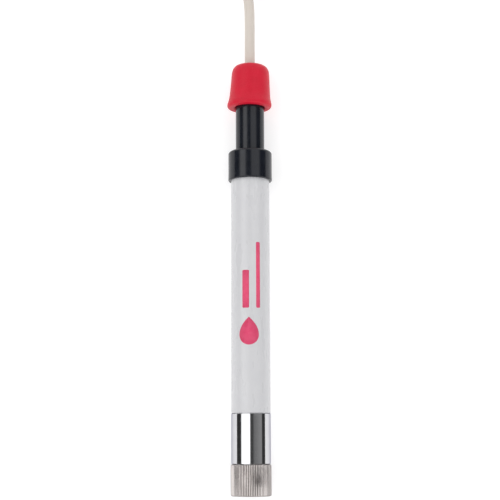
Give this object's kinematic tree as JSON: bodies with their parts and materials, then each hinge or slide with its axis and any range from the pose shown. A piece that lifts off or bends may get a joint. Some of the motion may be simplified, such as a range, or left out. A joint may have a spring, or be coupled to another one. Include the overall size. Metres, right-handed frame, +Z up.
{
  "type": "dissolved oxygen probe",
  "caption": "Slim round water quality probe with a knurled screw-off membrane cap, steel sleeve, grey tube, black collar and neck, red cable boot and a cable in a hank.",
  "frame": {"origin": "on the surface that the probe lies on, under the middle of its length, cable not counted", "axes": "+Y along the probe's axis from the sensing tip towards the cable, +Z up from the surface, +X to the side that the plug lies on"},
  "size_m": [0.0386, 0.3471, 0.0185],
  "materials": {
    "knurled_steel": "bright turned steel with a fine straight knurl",
    "polished_steel": "mirror polished",
    "light_grey_plastic": "satin",
    "black_plastic": "satin gloss",
    "red_rubber": "soft matte",
    "black_rubber": "matte",
    "cable_jacket": "satin",
    "white_plastic": "smooth",
    "epoxy": "cast gloss",
    "silver": "lapped",
    "zinc": "dull grey",
    "brass": "machined",
    "board": "green solder mask",
    "resistor": "lacquered",
    "wire_white": "smooth",
    "wire_black": "smooth",
    "wire_red": "smooth",
    "wire_green": "smooth"
  },
  "bodies": {
    "probe": {"steel_sleeve": "polished_steel", "cap_o_ring": "black_rubber", "electrode_core": "epoxy", "cathode_holder": "white_plastic", "cathode_disc": "silver", "anode_sleeve": "zinc", "core_o_ring": "black_rubber", "core_nut": "brass", "thermistor": "epoxy", "potting_plug": "epoxy", "circuit_board": "board", "load_resistor": "resistor", "cathode_wire": "wire_white", "anode_wire": "wire_black", "thermistor_lead_1": "brass", "thermistor_lead_2": "brass", "conductor_1": "wire_red", "conductor_2": "wire_black", "conductor_3": "wire_white", "conductor_4": "wire_green", "body_tube": "light_grey_plastic", "top_collar": "black_plastic", "neck_tube": "black_plastic", "neck_o_ring": "black_rubber", "cable_ferrule": "brass", "gland_washer": "polished_steel", "cable_seal": "black_rubber", "gland_nut": "brass", "cable": "cable_jacket", "cable_hank": "cable_jacket", "hank_tie": "black_rubber", "cable_tail": "cable_jacket", "plug_body": "light_grey_plastic", "plug_insert": "black_plastic", "plug_pin_1": "brass", "plug_pin_2": "brass", "plug_pin_3": "brass", "plug_pin_4": "brass"},
    "membrane_module": {"membrane": "white_plastic", "membrane_carrier": "black_plastic"},
    "cap": {"membrane_cap": "knurled_steel"},
    "boot": {"cable_boot": "red_rubber"},
    "coupling_ring": {"plug_ring": "polished_steel"}
  },
  "joints": [
    {"name": "cap_travel", "type": "slide", "parent": "probe", "child": "membrane_module", "axis": [0, -1, 0], "range_m": [0, 0.006]},
    {"name": "cap_turn", "type": "hinge", "parent": "membrane_module", "child": "cap", "pos_m": [0, 0, 0.00925], "axis": [0, -1, 0], "range_deg": [0, 2160]},
    {"name": "boot_slide", "type": "slide", "parent": "probe", "child": "boot", "axis": [0, 1, 0], "range_m": [0, 0.015]},
    {"name": "ring_turn", "type": "hinge", "parent": "probe", "child": "coupling_ring", "pos_m": [0.012, 0.144, 0.00725], "axis": [0, 1, 0], "continuous": true}
  ],
  "couplings": [
    {"joint": "cap_turn", "follows": "cap_travel", "rad_per_m": 6283.2}
  ]
}
